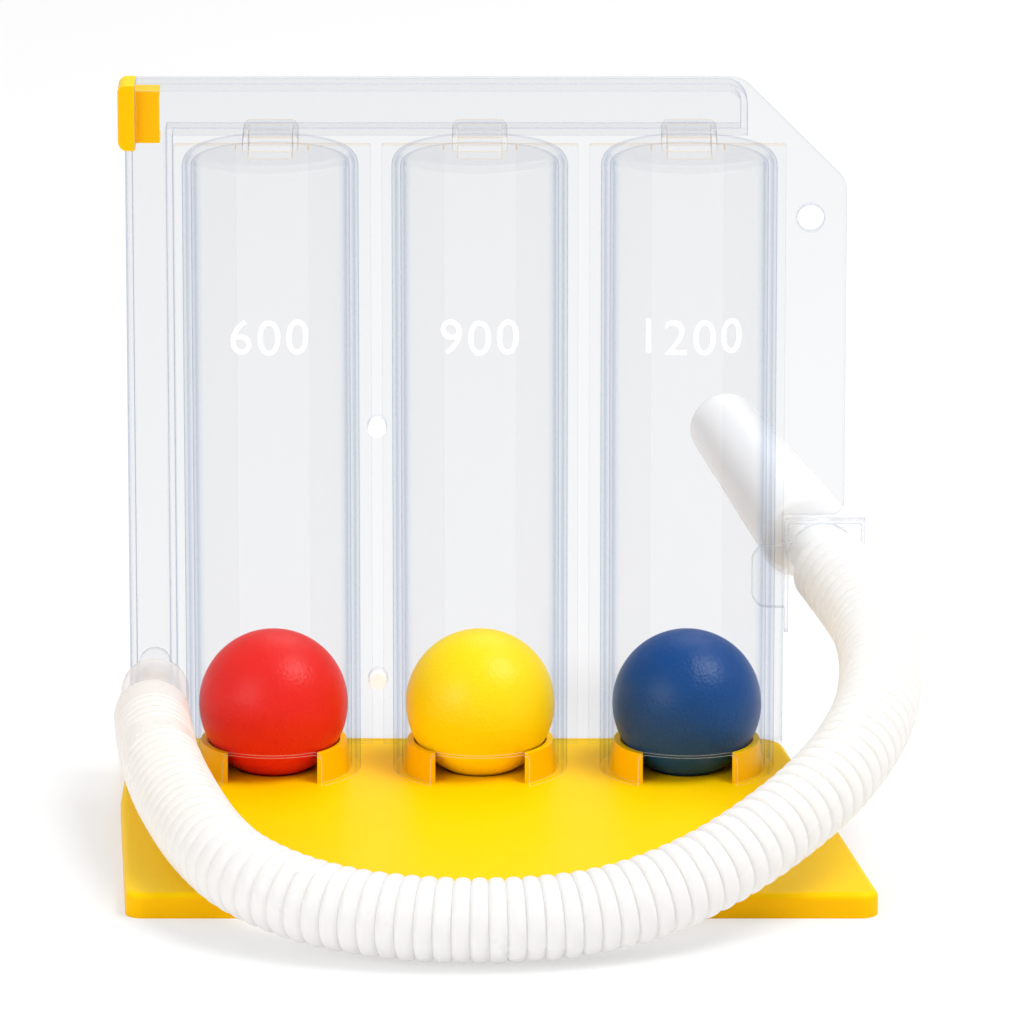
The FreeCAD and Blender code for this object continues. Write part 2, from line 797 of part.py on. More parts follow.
def on_mouth_axis(distance):
    """The point of the mouthpiece's axis that far behind the holding point."""
    across = arch_across + size.hold_side
    back = holder_front - size.hold_front
    level = arch_level - size.hold_sink
    hold = FreeCAD.Vector(across.value, back.value, level.value)
    return hold + mouth_axis() * distance


def set_on_mouth_axis(body, distance):
    turn = FreeCAD.Rotation(ALONG_Z, mouth_axis())
    body.Placement = FreeCAD.Placement(on_mouth_axis(distance), turn)
    doc.recompute()


# Upper cuff: short sleeve between the hose and the mouthpiece's stem
def build_upper_cuff():
    body = new_body("upper_cuff")
    bore = size.stem_radius + size.cuff_play
    profile = new_sketch(body, "UpperCuffProfile", "XZ_Plane")
    add_rectangle(profile, bore, size.hose_radius, 0, size.upper_cuff_length)
    add_revolution(body, profile)
    set_on_mouth_axis(body, -(size.upper_cuff_gap + size.upper_cuff_length).value)
    return body


# Mouthpiece: stem, shoulder, tapered body and rounded tip
def build_mouthpiece():
    body = new_body("mouthpiece")
    stem = size.upper_cuff_gap + size.upper_cuff_length - size.stem_play
    start = stem + size.mouth_start
    length = stem + size.mouth_length
    profile = new_sketch(body, "MouthProfile", "XZ_Plane")
    add_outline(
        profile,
        [
            (size.mouth_bore, 0),
            (size.stem_radius - size.stem_taper, 0),
            (size.stem_radius, size.stem_lead),
            (size.stem_radius, start - size.mouth_shoulder),
            (size.mouth_wide, start),
            (size.mouth_tip, length),
            (size.mouth_bore, length),
        ],
    )
    add_revolution(body, profile)
    add_fillet(body, size.shoulder_round, round_edge_at(size.mouth_wide, start))
    add_fillet(body, size.tip_round, round_edge_at(size.mouth_tip, length))
    set_on_mouth_axis(body, -stem.value)
    return body


# Holder: clip with an arched opening and a tab on the right column's wing
def build_mouthpiece_holder():
    body = new_body("mouthpiece_holder")
    back = -(holder_front + size.holder_depth)
    leg_end = holder_top - size.holder_leg
    short_leg_end = holder_top - size.holder_short_leg
    plate = new_sketch(body, "HolderPlate", "XZ_Plane", back)
    add_outline(
        plate,
        [
            (holder_left, leg_end),
            (arch_across, leg_end),
            (arch_across, short_leg_end),
            (holder_right, short_leg_end),
            (holder_right, holder_top),
            (holder_left, holder_top),
        ],
    )
    add_pad(body, plate, size.holder_depth)
    tab = new_sketch(body, "HolderTab", "XZ_Plane", -tab_back)
    tab_left = holder_left - size.tab_reach
    tab_top = holder_top - size.tab_drop
    tab_bottom = tab_top - size.tab_height
    inside = holder_left + (size.arch_inset - size.arch_radius) / 2
    add_rectangle(tab, tab_left, inside, tab_bottom, tab_top)
    add_pad(body, tab, size.tab_thick)
    for level in (tab_bottom, tab_top):
        add_fillet(body, size.tab_round, cross_edge_at(tab_left, level))
    opening = new_sketch(body, "HolderArch", "XZ_Plane", back)
    add_circle(opening, arch_across, arch_level, size.arch_radius)
    add_pocket(body, opening, size.holder_depth, reverse=True)
    way_out = new_sketch(body, "HolderWay", "XZ_Plane", back)
    left, right = arch_across - size.arch_radius, arch_across + size.arch_radius
    add_rectangle(way_out, left, right, leg_end - OVER, arch_level)
    add_pocket(body, way_out, size.holder_depth, reverse=True)
    recess = new_sketch(body, "HolderRecess", "XZ_Plane", -holder_front)
    rim = size.holder_rim
    recess_low = arch_level + size.arch_radius / 2
    add_rectangle(recess, holder_left + rim, holder_right - rim, recess_low, holder_top - rim)
    add_pocket(body, recess, size.holder_recess)

    def front_edge(edge):
        box = edge.BoundBox
        front = holder_front.value
        return near(box.YMin, front) and near(box.YMax, front)

    add_fillet(body, size.holder_round, front_edge)
    return body


# Balls: one in each column, resting on the seat ring
def build_ball(name, across):
    ball = doc.addObject("Part::Sphere", name)
    ball.Label = name
    ball.setExpression("Radius", ball_radius.text)
    ball.setExpression("Placement.Base.x", as_size(across).text)
    ball.setExpression("Placement.Base.z", ball_level.text)
    doc.recompute()
    return ball


def route_bends(points):
    """Start, middle and end of the arc at each inner point of the route, and its radius."""
    bends = []
    for before, corner, after in zip(points, points[1:], points[2:]):
        inward = before - corner
        outward = after - corner
        shorter = min(inward.Length, outward.Length)
        reach = ARC_SHARE * shorter
        inward.normalize()
        outward.normalize()
        turn = math.pi - inward.getAngle(outward)
        radius = reach / math.tan(turn / 2)
        to_centre = (inward + outward).normalize()
        depth = radius / math.cos(turn / 2) - radius
        bends.append((corner + inward * reach, corner + to_centre * depth, corner + outward * reach, radius))
    return bends


def hose_path(points):
    """Straight runs joined by tangent arcs."""
    bends = route_bends(points)
    edges = []
    here = points[0]
    for start, middle, end, radius in bends:
        edges.append(Part.LineSegment(here, start).toShape())
        edges.append(Part.Arc(start, middle, end).toShape())
        here = end
    edges.append(Part.LineSegment(here, points[-1]).toShape())
    print("hose arc radii:", ", ".join(f"{bend[3]:.0f}" for bend in bends))
    return Part.Wire(edges)


# Hose: a plain tube along its route
def build_hose():
    points = [FreeCAD.Vector(*point) for point in HOSE_ROUTE]
    path = hose_path(points)
    direction = points[1] - points[0]

    def sweep(radius):
        ring = Part.Wire(Part.Circle(points[0], direction, radius).toShape())
        return path.makePipeShell([ring], True, True)

    outer = size.hose_radius.value
    inner = outer - size.hose_wall.value
    tube = sweep(outer).cut(sweep(inner))
    solid = tube.Solids[0]
    expected = math.pi * (outer**2 - inner**2) * path.Length
    print(f"hose length {path.Length:.1f}, volume {solid.Volume:.0f}, section times length {expected:.0f}")
    hose = doc.addObject("Part::Feature", "hose")
    hose.Label = "hose"
    hose.Shape = solid
    hose.Placement = FreeCAD.Placement()
    doc.recompute()
    return hose


def write_parts(parts):
    """Checks every object, then writes one file for each piece."""
    doc.recompute()
    for item in doc.Objects:
        if "Invalid" in item.State or "Error" in item.State:
            raise RuntimeError(f"{item.Label} failed: {item.State}")
    for part in parts:
        if part.Shape.isNull() or not part.Shape.isValid():
            raise RuntimeError(f"{part.Label} has no valid shape")
    os.makedirs("parts", exist_ok=True)
    for part in parts:
        part.Shape.exportStep(f"parts/{part.Label}.step")
        box = part.Shape.BoundBox
        print(
            f"{part.Label}: {len(part.Shape.Solids)} solid(s), {part.Shape.Volume:.0f} mm3,"
            f" {box.XMin:.1f} to {box.XMax:.1f}, {box.YMin:.1f} to {box.YMax:.1f},"
            f" {box.ZMin:.1f} to {box.ZMax:.1f}"
        )


pieces = [
    build_base(),
    build_column("left_column", -column_pitch, notch_side=1),
    build_column("middle_column", as_size(0), notch_side=-1),
    build_column("right_column", column_pitch),
    build_air_channel(),
    build_back_plate(),
    build_corner_cap(),
    build_locating_pins(),
    build_hose_connector(),
    build_lower_cuff(),
    build_hose(),
    build_upper_cuff(),
    build_mouthpiece(),
    build_mouthpiece_holder(),
    build_ball("red_ball", -column_pitch),
    build_ball("yellow_ball", as_size(0)),
    build_ball("blue_ball", column_pitch),
]
write_parts(pieces)
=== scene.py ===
import bpy
import bmesh
import json
import math
from mathutils import Matrix, Vector


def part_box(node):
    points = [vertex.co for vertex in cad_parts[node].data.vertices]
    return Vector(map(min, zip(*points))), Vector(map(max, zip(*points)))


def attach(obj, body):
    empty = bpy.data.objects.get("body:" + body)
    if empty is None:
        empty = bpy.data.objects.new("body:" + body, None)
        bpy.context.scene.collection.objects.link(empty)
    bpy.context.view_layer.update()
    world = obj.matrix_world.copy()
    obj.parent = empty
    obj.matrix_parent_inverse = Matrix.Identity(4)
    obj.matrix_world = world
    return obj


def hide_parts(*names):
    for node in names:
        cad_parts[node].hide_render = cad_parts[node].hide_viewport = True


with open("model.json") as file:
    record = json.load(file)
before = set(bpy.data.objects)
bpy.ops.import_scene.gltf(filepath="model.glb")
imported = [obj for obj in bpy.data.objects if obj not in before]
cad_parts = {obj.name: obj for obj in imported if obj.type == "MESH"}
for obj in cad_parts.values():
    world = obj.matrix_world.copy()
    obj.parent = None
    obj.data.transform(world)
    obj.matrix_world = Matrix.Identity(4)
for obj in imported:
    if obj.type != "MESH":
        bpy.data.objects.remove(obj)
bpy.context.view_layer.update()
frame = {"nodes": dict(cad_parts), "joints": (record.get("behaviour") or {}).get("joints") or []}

# Three-ball incentive spirometer: looks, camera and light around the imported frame, in metres.
scene = bpy.context.scene
zAxis = Vector((0, 0, 1))
columnPitch = 0.038  # from column to column
mergeDistance = 1e-6
plasticIndex = 1.49  # how strongly the plastics bend light
plainWhite = (1, 1, 1, 1)

# Camera: the photograph is 1024 pixels square
camera = {
    "elevation": 15.0,  # degrees above the floor
    "distance": 1.8,
    "target": (0.00585, 0.0, 0.0529),
    "pixelsPerMetre": 5466.0,  # at the target
    "imageWidth": 1024,
    "sensor": 36.0,
    "clipEnd": 20.0,
}


def addCamera():
    tilt = math.radians(camera["elevation"])
    target = Vector(camera["target"])
    away = Vector((0, -math.cos(tilt), math.sin(tilt)))
    data = bpy.data.cameras.new("camera")
    data.sensor_width = camera["sensor"]
    focal = camera["pixelsPerMetre"] * camera["distance"] / camera["imageWidth"]
    data.lens = camera["sensor"] * focal
    data.clip_end = camera["clipEnd"]
    view = bpy.data.objects.new("camera", data)
    view.location = target + away * camera["distance"]
    view.rotation_euler = (math.radians(90) - tilt, 0, 0)
    scene.collection.objects.link(view)
    scene.camera = view


addCamera()
print("camera is set")


# Materials: small helpers, then the shared node groups, then one function per finish
def newNode(tree, kind, **values):
    node = tree.nodes.new(kind)
    for name, value in values.items():
        setattr(node, name, value)
    return node


# A socket takes a link from another socket, or else a plain value
def feed(tree, value, socket):
    if isinstance(value, bpy.types.NodeSocket):
        tree.links.new(value, socket)
    else:
        socket.default_value = value


def mathNode(tree, operation, *values):
    node = newNode(tree, "ShaderNodeMath", operation=operation)
    for value, socket in zip(values, node.inputs):
        feed(tree, value, socket)
    return node.outputs[0]


def mixNode(tree, factor, first, second, blend="MIX"):
    node = newNode(tree, "ShaderNodeMix", data_type="RGBA", blend_type=blend)
    feed(tree, factor, node.inputs["Factor"])
    feed(tree, first, node.inputs["A"])
    feed(tree, second, node.inputs["B"])
    return node.outputs["Result"]


def softStep(tree, value, limits):
    node = newNode(tree, "ShaderNodeMapRange", interpolation_type="SMOOTHSTEP")
    node.inputs["From Min"].default_value, node.inputs["From Max"].default_value = limits
    tree.links.new(value, node.inputs["Value"])
    return node


def mixShaders(tree, share, first, second):
    node = newNode(tree, "ShaderNodeMixShader")
    feed(tree, share, node.inputs[0])
    tree.links.new(first, node.inputs[1])
    tree.links.new(second, node.inputs[2])
    return node.outputs[0]


def newGroup(name, inputs, outputs):
    group = bpy.data.node_groups.new(name, "ShaderNodeTree")
    for label, kind, value in inputs:
        socket = group.interface.new_socket(label, in_out="INPUT", socket_type=kind)
        if value is not None:
            socket.default_value = value
    for label, kind in outputs:
        group.interface.new_socket(label, in_out="OUTPUT", socket_type=kind)
    return group, newNode(group, "NodeGroupInput"), newNode(group, "NodeGroupOutput")


# Fine moulded grain: two sizes of pebble as one height
pebbles = {
    "detail": 3.0,
    "coarser": 0.45,  # scale of the second size beside the first
}


def makeGrainGroup():
    group, source, result = newGroup(
        "mouldedGrain",
        [
            ("Vector", "NodeSocketVector", None),
            ("Scale", "NodeSocketFloat", 1500.0),
            ("Softness", "NodeSocketFloat", 0.5),
        ],
        [("Height", "NodeSocketFloat"), ("Pits", "NodeSocketFloat")],
    )
    cells = newNode(group, "ShaderNodeTexVoronoi", feature="SMOOTH_F1")
    noise = newNode(group, "ShaderNodeTexNoise")
    noise.inputs["Detail"].default_value = pebbles["detail"]
    blend = newNode(group, "ShaderNodeMix", data_type="FLOAT")
    link = group.links.new
    link(source.outputs["Vector"], cells.inputs["Vector"])
    link(source.outputs["Vector"], noise.inputs["Vector"])
    link(source.outputs["Scale"], cells.inputs["Scale"])
    coarse = mathNode(group, "MULTIPLY", source.outputs["Scale"], pebbles["coarser"])
    link(coarse, noise.inputs["Scale"])
    link(source.outputs["Softness"], blend.inputs["Factor"])
    link(cells.outputs["Distance"], blend.inputs["A"])
    link(noise.outputs["Fac"], blend.inputs["B"])
    link(blend.outputs["Result"], result.inputs["Height"])
    link(cells.outputs["Distance"], result.inputs["Pits"])
    return group


# Uneven polish: a slow change between two values, with faint finer clouds in it
polishClouds = {
    "detail": 4.0,
    "roughness": 0.6,
    "spread": (0.3, 0.7),  # part of the noise that the two values span
}


def makePolishGroup():
    group, source, result = newGroup(
        "unevenPolish",
        [
            ("Vector", "NodeSocketVector", None),
            ("Scale", "NodeSocketFloat", 40.0),
            ("Low", "NodeSocketFloat", 0.2),
            ("High", "NodeSocketFloat", 0.3),
        ],
        [("Value", "NodeSocketFloat"), ("Mask", "NodeSocketFloat")],
    )
    clouds = newNode(group, "ShaderNodeTexNoise")
    clouds.inputs["Detail"].default_value = polishClouds["detail"]
    clouds.inputs["Roughness"].default_value = polishClouds["roughness"]
    spread = newNode(group, "ShaderNodeMapRange")
    spread.inputs["From Min"].default_value, spread.inputs["From Max"].default_value = polishClouds["spread"]
    link = group.links.new
    link(source.outputs["Vector"], clouds.inputs["Vector"])
    link(source.outputs["Scale"], clouds.inputs["Scale"])
    link(clouds.outputs["Fac"], spread.inputs["Value"])
    link(source.outputs["Low"], spread.inputs["To Min"])
    link(source.outputs["High"], spread.inputs["To Max"])
    link(spread.outputs["Result"], result.inputs["Value"])
    link(clouds.outputs["Fac"], result.inputs["Mask"])
    return group


grainGroup = makeGrainGroup()
polishGroup = makePolishGroup()


def newMaterial(name):
    material = bpy.data.materials.new(name)
    material.use_nodes = True
    tree = material.node_tree
    shader = tree.nodes["Principled BSDF"]
    place = newNode(tree, "ShaderNodeTexCoord")
    return material, tree, shader, place.outputs["Object"]


def useGroup(tree, group, place, **values):
    node = newNode(tree, "ShaderNodeGroup", node_tree=group)
    tree.links.new(place, node.inputs["Vector"])
    for name, value in values.items():
        node.inputs[name].default_value = value
    return node


def mixColours(tree, mask, look):
    return mixNode(tree, mask, (*look["colour"], 1), (*look["shade"], 1))


# The finish's own uneven polish drives the shader's roughness
def addPolish(tree, shader, place, look):
    low, high = look["polish"]
    polish = useGroup(tree, polishGroup, place, Scale=look["cloudScale"], Low=low, High=high)
    tree.links.new(polish.outputs["Value"], shader.inputs["Roughness"])
    return polish


def addGrain(tree, shader, place, look):
    grain = useGroup(tree, grainGroup, place, Scale=look["grainScale"], Softness=look["grainSoftness"])
    bump = newNode(tree, "ShaderNodeBump")
    bump.inputs["Strength"].default_value = look["grainStrength"]
    bump.inputs["Distance"].default_value = look["grainDepth"]
    tree.links.new(grain.outputs["Height"], bump.inputs["Height"])
    tree.links.new(bump.outputs["Normal"], shader.inputs["Normal"])


# One for the kinds of ray that are named, nought for the others
def rayShare(tree, kinds):
    light = newNode(tree, "ShaderNodeLightPath")
    total = light.outputs[kinds[0]]
    for kind in kinds[1:]:
        total = mathNode(tree, "MAXIMUM", total, light.outputs[kind])
    return total


# Painted shade: upright faces take another, deeper colour, standing in for the dimmer light that falls on the
# sides
def paintSideShade(tree, colour, look):
    surface = newNode(tree, "ShaderNodeNewGeometry")
    apart = newNode(tree, "ShaderNodeSeparateXYZ")
    tree.links.new(surface.outputs["Normal"], apart.inputs[0])
    level = softStep(tree, apart.outputs["Z"], look["sideLean"])
    return mixNode(tree, level.outputs["Result"], (*look["side"], 1), colour)


# Solid moulded plastic: colour, polish and grain all vary a little over the surface
def makeMouldedPlastic(name, look):
    material, tree, shader, place = newMaterial(name)
    polish = addPolish(tree, shader, place, look)
    colour = mixColours(tree, polish.outputs["Mask"], look)
    # Painted shade on upright faces, where the look asks for it
    if "side" in look:
        colour = paintSideShade(tree, colour, look)
    tree.links.new(colour, shader.inputs["Base Color"])
    addGrain(tree, shader, place, look)
    shader.inputs["IOR"].default_value = plasticIndex
    shader.inputs["Specular IOR Level"].default_value = look["specular"]
    shader.inputs["Subsurface Weight"].default_value = look["glow"]
    shader.inputs["Subsurface Radius"].default_value = look["glowRadius"]
    shader.inputs["Subsurface Scale"].default_value = 1.0
    return material


yellowLook = {
    "colour": (1.0, 0.62, 0.0),
    "shade": (0.99, 0.59, 0.0),
    "cloudScale": 30.0,
    "polish": (0.34, 0.42),
    "grainScale": 2600.0,
    "grainSoftness": 0.7,
    "grainStrength": 0.12,
    "grainDepth": 0.00006,
    "specular": 0.06,
    "glow": 0.2,
    "glowRadius": (0.002, 0.0012, 0.0001),
}
baseLook = dict(
    yellowLook,
    # painted shade: the sides are deeper amber because less light falls on them
    side=(1.0, 0.52, 0.0),
    sideLean=(0.2, 0.8),  # how far a face looks up where the top colour and the painted side shade meet
)
whiteLook = dict(
    yellowLook,
    colour=(0.97, 0.97, 0.97),
    shade=(0.95, 0.95, 0.96),
    polish=(0.2, 0.28),
    specular=0.3,
    glow=0.6,
    glowRadius=(0.006, 0.006, 0.006),
)
ballLook = dict(
    yellowLook,
    cloudScale=60.0,
    polish=(0.34, 0.44),
    grainScale=1800.0,
    grainSoftness=0.3,
    grainStrength=0.5,
    grainDepth=0.00018,
    specular=0.25,
    glow=0.08,
    glowRadius=(0.0015, 0.0004, 0.0002),
)
ballColours = {
    "red_ball": ((0.80, 0.016, 0.012), (0.74, 0.012, 0.009)),
    "yellow_ball": ((1.0, 0.74, 0.002), (0.99, 0.68, 0.002)),
    "blue_ball": ((0.002, 0.060, 0.24), (0.002, 0.048, 0.20)),
}

# Clear plastic: bright where it is looked through squarely, with painted blue-grey shade lines where it turns
# away and along its edges, painted white highlights on edges and a painted amber glint on high edges
clearLook = {
    "clear": (0.985, 0.985, 0.987),
    "paintedTurnShades": [  # painted shade and lighter bands, by how far the surface turns away
        (0.0, (1.0, 1.0, 1.0)),
        (0.5, (1.0, 1.0, 1.0)),
        (0.6, (0.94, 0.955, 0.975)),
        (0.7, (0.80, 0.84, 0.90)),
        (0.76, (0.93, 0.945, 0.97)),
        (0.86, (0.91, 0.93, 0.96)),
        (0.95, (0.64, 0.70, 0.80)),
        (1.0, (0.56, 0.62, 0.75)),
    ],
    "edgeWidth": 0.00025,
    "edgeSamples": 4,
    # painted shade: the blue-grey colour of the lines drawn along edges
    "paintedEdgeShade": (0.92, 0.935, 0.965),
    "paintedEdgeHighlight": 0.4,  # painted highlight: share of white diffuse that an edge shows
    "paintedAmberGlint": (1.0, 0.76, 0.48),
    "paintedGlintFrom": 0.1175,  # height above which edges get a painted amber glint
    "quiet": 1.0,  # creases behind the bores aren't drawn
    "bend": 0.0,  # share of the light that is bent as in solid glass
    "polish": (0.03, 0.07),
    "cloudScale": 55.0,
    "shine": 0.2,  # mirror share of a surface seen along itself
    "shinePower": 4.0,
    "glint": 0.002,  # mirror share of a surface seen squarely
    "film": (0.975, 0.977, 0.98),  # tint of the light that passes through
}
plateLook = dict(
    clearLook,
    clear=(0.947, 0.949, 0.954),
    edgeWidth=0.0005,
    paintedEdgeShade=(0.70, 0.76, 0.86),
    paintedEdgeHighlight=0.25,
    paintedGlintFrom=1.0,
    quiet=0.0,
)
ductLook = dict(plateLook, clear=(0.975, 0.977, 0.98))
solidLook = dict(plateLook, clear=(0.985, 0.985, 0.987), bend=0.4)


# Painted shade for surfaces that turn away, level ones left out, and painted shade lines and glints for their
# edges
tintLimits = {
    "level": (0.75, 0.98),  # how far a face looks up or down where its tint fades
    "levelShare": 0.85,
    "edge": (0.995, 0.92),  # how far the rounded normal leaves the face's own
    "quietWidth": 0.012,  # from a column's axis
    "quietFrom": 0.005,  # behind a column's axis
}


# Edges that are drawn: all but the creases behind the bores
def drawnEdges(group, source, spot):
    along = newNode(group, "ShaderNodeVectorMath", operation="DOT_PRODUCT")
    group.links.new(source.outputs["Normal"], along.inputs[0])
    group.links.new(source.outputs["Rounded"], along.inputs[1])
    edge = softStep(group, along.outputs["Value"], tintLimits["edge"])
    inPitch = mathNode(group, "WRAP", spot.outputs["X"], columnPitch / 2, -columnPitch / 2)
    offAxis = mathNode(group, "ABSOLUTE", inPitch)
    near = mathNode(group, "LESS_THAN", offAxis, tintLimits["quietWidth"])
    behind = mathNode(group, "GREATER_THAN", spot.outputs["Y"], tintLimits["quietFrom"])
    below = mathNode(group, "LESS_THAN", spot.outputs["Z"], source.outputs["Painted Glint From"])
    quiet = source.outputs["Quiet"]
    for part in (near, behind, below):
        quiet = mathNode(group, "MULTIPLY", quiet, part)
    loud = mathNode(group, "SUBTRACT", 1.0, quiet)
    return mathNode(group, "MULTIPLY", edge.outputs["Result"], loud)


def makeTintGroup():
    group, source, result = newGroup(
        "clearTint",
        [
            ("Facing", "NodeSocketFloat", None),
            ("Normal", "NodeSocketVector", None),
            ("Rounded", "NodeSocketVector", None),
            ("Clear", "NodeSocketColor", plainWhite),
            ("Edge Tint", "NodeSocketColor", plainWhite),
            ("Place", "NodeSocketVector", None),
            ("Painted Glint From", "NodeSocketFloat", 1.0),
            ("Quiet", "NodeSocketFloat", 0.0),
        ],
        [("Color", "NodeSocketColor"), ("Edge", "NodeSocketFloat"), ("Painted Glint Color", "NodeSocketColor")],
    )
    link = group.links.new
    # Painted shade: blue-grey tones where the surface turns away from view stand in for the dark lines that
    # bending light draws there
    ramp = newNode(group, "ShaderNodeValToRGB")
    points = ramp.color_ramp.elements
    for index, (place, colour) in enumerate(clearLook["paintedTurnShades"]):
        point = points[index] if index < 2 else points.new(place)
        point.position = place
        point.color = (*colour, 1)
    link(source.outputs["Facing"], ramp.inputs["Fac"])
    apart = newNode(group, "ShaderNodeSeparateXYZ")
    link(source.outputs["Normal"], apart.inputs[0])
    upright = mathNode(group, "ABSOLUTE", apart.outputs["Z"])
    level = softStep(group, upright, tintLimits["level"])
    level.inputs["To Max"].default_value = tintLimits["levelShare"]
    turned = mixNode(group, level.outputs["Result"], ramp.outputs["Color"], plainWhite)
    spot = newNode(group, "ShaderNodeSeparateXYZ")
    link(source.outputs["Place"], spot.inputs[0])
    edge = drawnEdges(group, source, spot)
    # Painted glint: edges high up are tinted amber, as if lit by yellow light from below
    highGlint = mathNode(group, "GREATER_THAN", spot.outputs["Z"], source.outputs["Painted Glint From"])
    paintedGleam = mixNode(group, highGlint, plainWhite, (*clearLook["paintedAmberGlint"], 1))
    # Painted shade lines along the drawn edges, amber high up
    drawn = mixNode(group, 1.0, source.outputs["Edge Tint"], paintedGleam, "MULTIPLY")
    lines = mixNode(group, edge, plainWhite, drawn)
    both = mixNode(group, 1.0, turned, lines, "MULTIPLY")
    tinted = mixNode(group, 1.0, both, source.outputs["Clear"], "MULTIPLY")
    link(tinted, result.inputs["Color"])
    link(edge, result.inputs["Edge"])
    link(paintedGleam, result.inputs["Painted Glint Color"])
    return group


tintGroup = makeTintGroup()


def makeClearPlastic(name, look):
    material, tree, shader, place = newMaterial(name)
    link = tree.links.new
    polish = addPolish(tree, shader, place, look)
    facing = newNode(tree, "ShaderNodeLayerWeight")
    surface = newNode(tree, "ShaderNodeNewGeometry")
    rounded = newNode(tree, "ShaderNodeBevel", samples=look["edgeSamples"])
    rounded.inputs["Radius"].default_value = look["edgeWidth"]
    tint = newNode(tree, "ShaderNodeGroup", node_tree=tintGroup)
    tint.inputs["Clear"].default_value = (*look["clear"], 1)
    tint.inputs["Edge Tint"].default_value = (*look["paintedEdgeShade"], 1)
    tint.inputs["Painted Glint From"].default_value = look["paintedGlintFrom"]
    tint.inputs["Quiet"].default_value = look["quiet"]
    link(place, tint.inputs["Place"])
    link(facing.outputs["Facing"], tint.inputs["Facing"])
    link(surface.outputs["Normal"], tint.inputs["Normal"])
    link(rounded.outputs["Normal"], tint.inputs["Rounded"])
    link(tint.outputs["Color"], shader.inputs["Base Color"])
    shader.inputs["IOR"].default_value = plasticIndex
    shader.inputs["Transmission Weight"].default_value = 1.0
    thin = newNode(tree, "ShaderNodeBsdfTransparent")
    link(tint.outputs["Color"], thin.inputs["Color"])
    body = mixShaders(tree, look["bend"], thin.outputs[0], shader.outputs[0])
    # Painted highlight: edges show some white diffuse, standing in for the bright lines on rounded edges
    paintedGleam = newNode(tree, "ShaderNodeBsdfDiffuse")
    link(tint.outputs["Painted Glint Color"], paintedGleam.inputs["Color"])
    lit = mathNode(tree, "MULTIPLY", tint.outputs["Edge"], look["paintedEdgeHighlight"])
    edged = mixShaders(tree, lit, body, paintedGleam.outputs[0])
    # A little of the room is mirrored, most of it where the surface turns away
    mirror = newNode(tree, "ShaderNodeBsdfGlossy")
    link(polish.outputs["Value"], mirror.inputs["Roughness"])
    steep = mathNode(tree, "POWER", facing.outputs["Facing"], look["shinePower"])
    share = mathNode(tree, "MULTIPLY_ADD", steep, look["shine"], look["glint"])
    shiny = mixShaders(tree, share, edged, mirror.outputs[0])
    # Lamps and soft light from inside pass straight through
    film = newNode(tree, "ShaderNodeBsdfTransparent")
    film.inputs["Color"].default_value = (*look["film"], 1)
    passing = rayShare(tree, ["Is Shadow Ray", "Is Diffuse Ray"])
    mix = mixShaders(tree, passing, shiny, film.outputs[0])
    link(mix, tree.nodes["Material Output"].inputs["Surface"])
    return material


# Frosted plastic of the raised numerals and the pins: a white veil over what is behind, with a painted glow
# from a faint white emission
frostedLook = {
    "colour": (0.95, 0.95, 0.95),
    "shade": (1.0, 1.0, 1.0),
    "polish": (0.3, 0.4),
    "cloudScale": 80.0,
    "cover": 0.5,
    # strength of the painted glow
    "paintedGleam": 0.3,
}


def makeFrostedPlastic(name, look):
    material, tree, shader, place = newMaterial(name)
    link = tree.links.new
    polish = addPolish(tree, shader, place, look)
    link(mixColours(tree, polish.outputs["Mask"], look), shader.inputs["Base Color"])
    # Painted glow: a faint white emission lights the strokes though they are no lamp
    shader.inputs["Emission Color"].default_value = (*look["colour"], 1)
    shader.inputs["Emission Strength"].default_value = look["paintedGleam"]
    thin = newNode(tree, "ShaderNodeBsdfTransparent")
    mix = mixShaders(tree, look["cover"], thin.outputs[0], shader.outputs[0])
    link(mix, tree.nodes["Material Output"].inputs["Surface"])
    return material


# Hose plastic: soft and milky, light shines through its thin wall
hoseLook = {
    "colour": (0.955, 0.95, 0.945),
    "shade": (0.93, 0.925, 0.92),
    "polish": (0.24, 0.36),
    "cloudScale": 45.0,
    "through": 0.35,
    "glow": 0.5,
    "glowRadius": (0.0013, 0.0012, 0.0011),
    "grainScale": 1800.0,
    "grainSoftness": 0.8,
    "grainStrength": 0.1,
    "grainDepth": 0.00005,
    "cover": 1.0,
}
sleeveLook = dict(hoseLook, cover=0.45, through=0.5)


def makeHosePlastic(name, look):
    material, tree, shader, place = newMaterial(name)
    link = tree.links.new
    polish = addPolish(tree, shader, place, look)
    colour = mixColours(tree, polish.outputs["Mask"], look)
    link(colour, shader.inputs["Base Color"])
    shader.inputs["Subsurface Weight"].default_value = look["glow"]
    shader.inputs["Subsurface Radius"].default_value = look["glowRadius"]
    shader.inputs["Subsurface Scale"].default_value = 1.0
    addGrain(tree, shader, place, look)
    glow = newNode(tree, "ShaderNodeBsdfTranslucent")
    link(colour, glow.inputs["Color"])
    milky = mixShaders(tree, look["through"], shader.outputs[0], glow.outputs[0])
    thin = newNode(tree, "ShaderNodeBsdfTransparent")
    mix = mixShaders(tree, look["cover"], thin.outputs[0], milky)
    link(mix, tree.nodes["Material Output"].inputs["Surface"])
    return material


yellowPlastic = makeMouldedPlastic("yellowPlastic", baseLook)
whitePlastic = makeMouldedPlastic("whitePlastic", whiteLook)
clearPlastic = makeClearPlastic("clearPlastic", clearLook)
clearPlate = makeClearPlastic("clearPlate", plateLook)
clearDuct = makeClearPlastic("clearDuct", ductLook)
clearSolid = makeClearPlastic("clearSolid", solidLook)
frostedPlastic = makeFrostedPlastic("frostedPlastic", frostedLook)
hosePlastic = makeHosePlastic("hosePlastic", hoseLook)
sleevePlastic = makeHosePlastic("sleevePlastic", sleeveLook)
print("materials are made")


